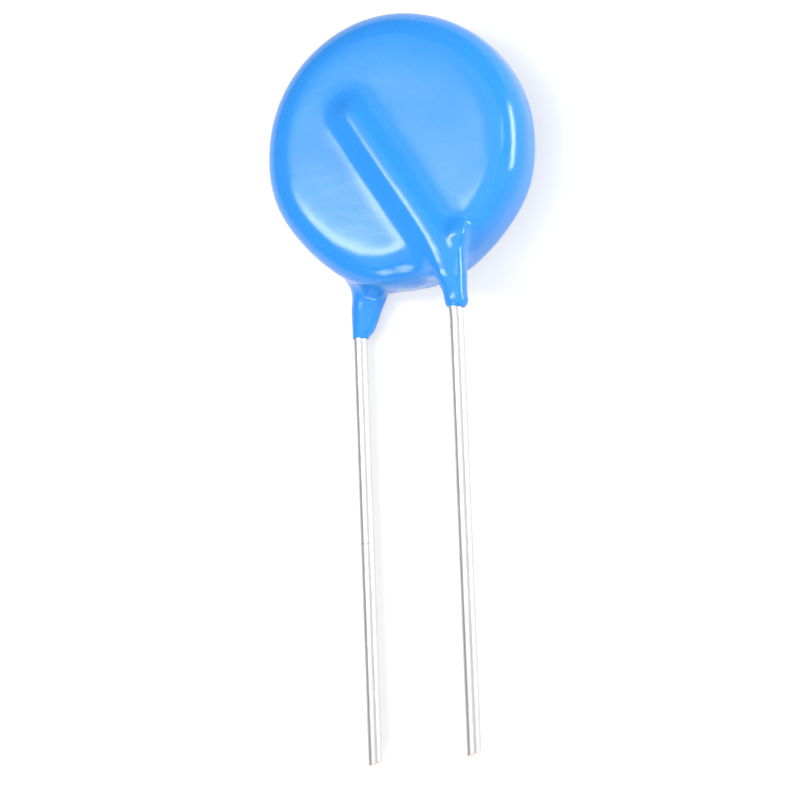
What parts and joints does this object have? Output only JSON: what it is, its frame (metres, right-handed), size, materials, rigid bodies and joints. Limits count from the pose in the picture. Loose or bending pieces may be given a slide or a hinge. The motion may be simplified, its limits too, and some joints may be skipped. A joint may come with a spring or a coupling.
{
  "type": "disc varistor",
  "caption": "Blue epoxy-dipped metal oxide disc varistor with radial wire leads, lying on its back.",
  "frame": {"origin": "midway between the two leads, in the seating plane where the coat on them ends", "axes": "leads point along -Y, the disc's axis and its front face point along +Z, +X is to the right seen from the front"},
  "size_m": [0.0156, 0.0428, 0.0064],
  "materials": {
    "zinc_oxide": "sintered zinc oxide ceramic, matt dark grey",
    "silver": "fired silver paste, satin",
    "tinned_wire": "bright tinned wire",
    "solder": "dull soft solder",
    "blue_epoxy": "dipped epoxy powder coat, bright blue, semi-gloss"
  },
  "bodies": {
    "root": {"ceramic_disc": "zinc_oxide", "front_electrode": "silver", "rear_electrode": "silver", "front_lead": "tinned_wire", "rear_lead": "tinned_wire", "front_solder": "solder", "rear_solder": "solder", "epoxy_coat": "blue_epoxy"}
  },
  "joints": []
}
